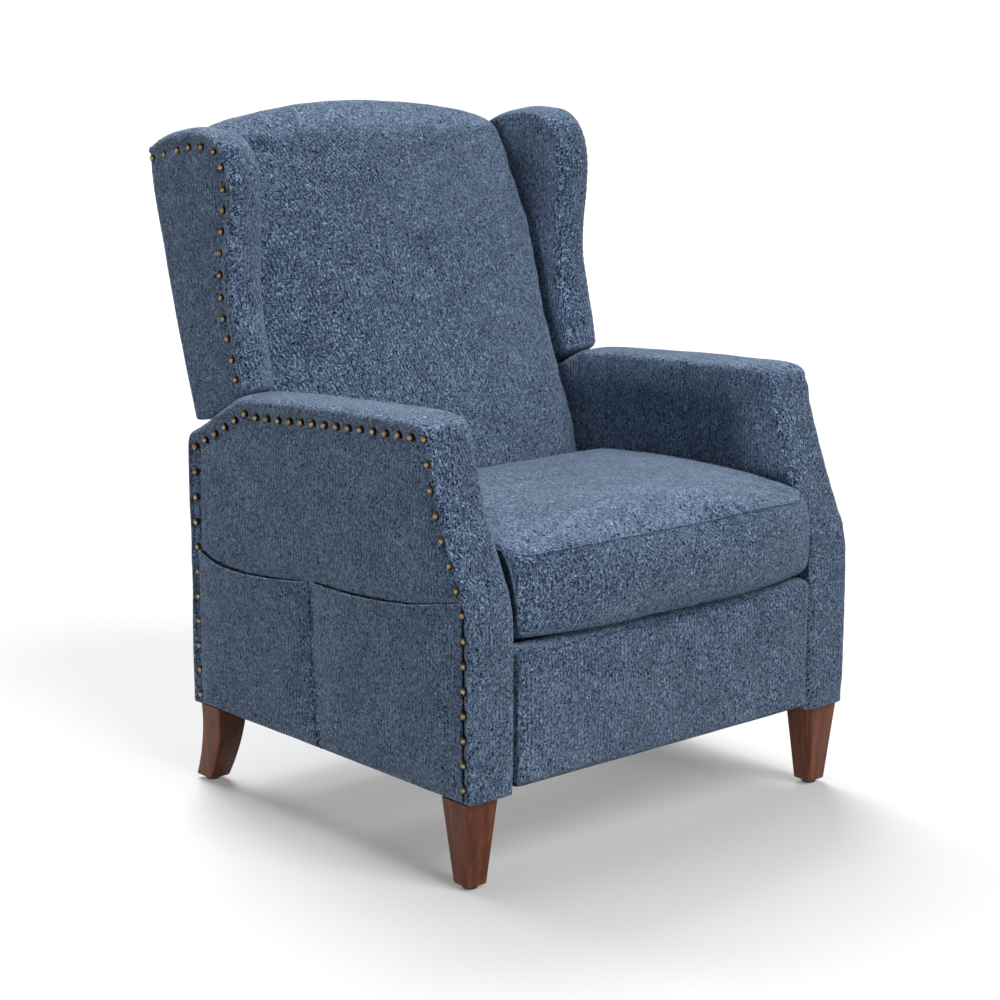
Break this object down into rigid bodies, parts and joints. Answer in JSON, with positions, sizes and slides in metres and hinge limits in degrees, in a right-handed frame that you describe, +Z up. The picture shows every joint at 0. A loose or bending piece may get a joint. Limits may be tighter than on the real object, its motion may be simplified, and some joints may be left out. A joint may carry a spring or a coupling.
{
  "type": "recliner armchair",
  "caption": "Push-back wing recliner armchair in ribbed blue fabric with nail-head trim, side pockets, tapered wood legs and a fold-out footrest.",
  "frame": {"origin": "on the floor, under the centre of the bounding box with the chair upright and the footrest folded", "axes": "-Y is the way the sitter faces, +X is to the right seen from the front, +Z is up"},
  "size_m": [0.7498, 0.792, 1.01],
  "materials": {
    "blue_chenille": "ribbed chenille",
    "antique_brass": "antique, domed nail heads",
    "leg_wood": "dark reddish-brown satin stain",
    "frame_wood": "raw plywood and pine",
    "black_steel": "black satin",
    "spring_steel": "drawn wire",
    "webbing": "woven elastic",
    "glide_plastic": "moulded"
  },
  "bodies": {
    "base": {"arm_cover_left": "blue_chenille", "arm_cover_right": "blue_chenille", "arm_frame_left": "frame_wood", "arm_frame_right": "frame_wood", "arm_panel_left": "blue_chenille", "arm_panel_right": "blue_chenille", "side_pocket_left": "blue_chenille", "side_pocket_right": "blue_chenille", "arm_nail_trim_left": "antique_brass", "arm_nail_trim_right": "antique_brass", "leg_front_left": "leg_wood", "leg_front_right": "leg_wood", "leg_rear_left": "leg_wood", "leg_rear_right": "leg_wood", "glide_front_left": "glide_plastic", "glide_front_right": "glide_plastic", "glide_rear_left": "glide_plastic", "glide_rear_right": "glide_plastic", "rear_cross_rail": "blue_chenille", "base_plate_left": "black_steel", "base_plate_right": "black_steel", "cross_tube": "black_steel"},
    "swing_front": {"swing_link_front_left": "black_steel", "swing_link_front_right": "black_steel"},
    "swing_rear": {"swing_link_rear_left": "black_steel", "swing_link_rear_right": "black_steel"},
    "seat": {"seat_rail_front": "frame_wood", "seat_rail_rear": "frame_wood", "seat_rail_left": "frame_wood", "seat_rail_right": "frame_wood", "seat_spring_1": "spring_steel", "seat_spring_2": "spring_steel", "seat_spring_3": "spring_steel", "seat_cushion": "blue_chenille", "seat_plate_left": "black_steel", "seat_plate_right": "black_steel"},
    "back": {"outside_back_panel": "blue_chenille", "back_frame": "frame_wood", "back_strap_1": "webbing", "back_strap_2": "webbing", "back_cushion": "blue_chenille", "wing_left": "blue_chenille", "wing_right": "blue_chenille", "wing_nail_trim_left": "antique_brass", "wing_nail_trim_right": "antique_brass", "back_bracket_left": "black_steel", "back_bracket_right": "black_steel"},
    "push_rod": {"push_rod_left": "black_steel", "push_rod_right": "black_steel"},
    "crank": {"footrest_crank_left": "black_steel", "footrest_crank_right": "black_steel"},
    "long_link": {"footrest_long_link_left": "black_steel", "footrest_long_link_right": "black_steel"},
    "control_link": {"footrest_control_link_left": "black_steel", "footrest_control_link_right": "black_steel"},
    "footrest": {"footrest_bracket_left": "black_steel", "footrest_bracket_right": "black_steel", "footrest_board": "frame_wood", "footrest_pad": "blue_chenille", "footrest_cross_bar": "black_steel"}
  },
  "joints": [
    {"name": "seat_slide", "type": "slide", "parent": "base", "child": "seat", "axis": [0, -1, 0], "range_m": [0, 0.0501]},
    {"name": "recline", "type": "hinge", "parent": "seat", "child": "back", "pos_m": [0, 0.199, 0.32], "axis": [-1, 0, 0], "range_deg": [0, 33]},
    {"name": "swing_front_pivot", "type": "hinge", "parent": "base", "child": "swing_front", "pos_m": [0, -0.031, 0.205], "axis": [1, 0, 0], "range_deg": [0, 41.87]},
    {"name": "swing_rear_pivot", "type": "hinge", "parent": "base", "child": "swing_rear", "pos_m": [0, 0.149, 0.205], "axis": [1, 0, 0], "range_deg": [0, 41.87]},
    {"name": "push_rod_pivot", "type": "hinge", "parent": "back", "child": "push_rod", "pos_m": [0, 0.14761, 0.25229], "axis": [1, 0, 0], "range_deg": [0, 37.53]},
    {"name": "crank_pivot", "type": "hinge", "parent": "seat", "child": "crank", "pos_m": [0, -0.116, 0.275], "axis": [-1, 0, 0], "range_deg": [0, 144.56]},
    {"name": "long_link_pivot", "type": "hinge", "parent": "crank", "child": "long_link", "pos_m": [0, 0.01522, 0.17497], "axis": [1, 0, 0], "range_deg": [0, 143.72]},
    {"name": "control_link_pivot", "type": "hinge", "parent": "crank", "child": "control_link", "pos_m": [0, 0.04205, 0.15452], "axis": [1, 0, 0], "range_deg": [0, 138.14]},
    {"name": "footrest_pivot", "type": "hinge", "parent": "long_link", "child": "footrest", "pos_m": [0, -0.301, 0.25], "axis": [-1, 0, 0], "range_deg": [0, 89.18]}
  ],
  "couplings": [
    {"joint": "seat_slide", "follows": "recline", "m_per_rad": 0.086812},
    {"joint": "swing_front_pivot", "follows": "recline", "ratio": 1.2682},
    {"joint": "swing_rear_pivot", "follows": "recline", "ratio": 1.2682},
    {"joint": "push_rod_pivot", "follows": "recline", "ratio": 1.1368},
    {"joint": "crank_pivot", "follows": "recline", "ratio": 4.3799},
    {"joint": "long_link_pivot", "follows": "recline", "ratio": 4.3544},
    {"joint": "control_link_pivot", "follows": "recline", "ratio": 4.1854},
    {"joint": "footrest_pivot", "follows": "recline", "ratio": 2.7018}
  ]
}
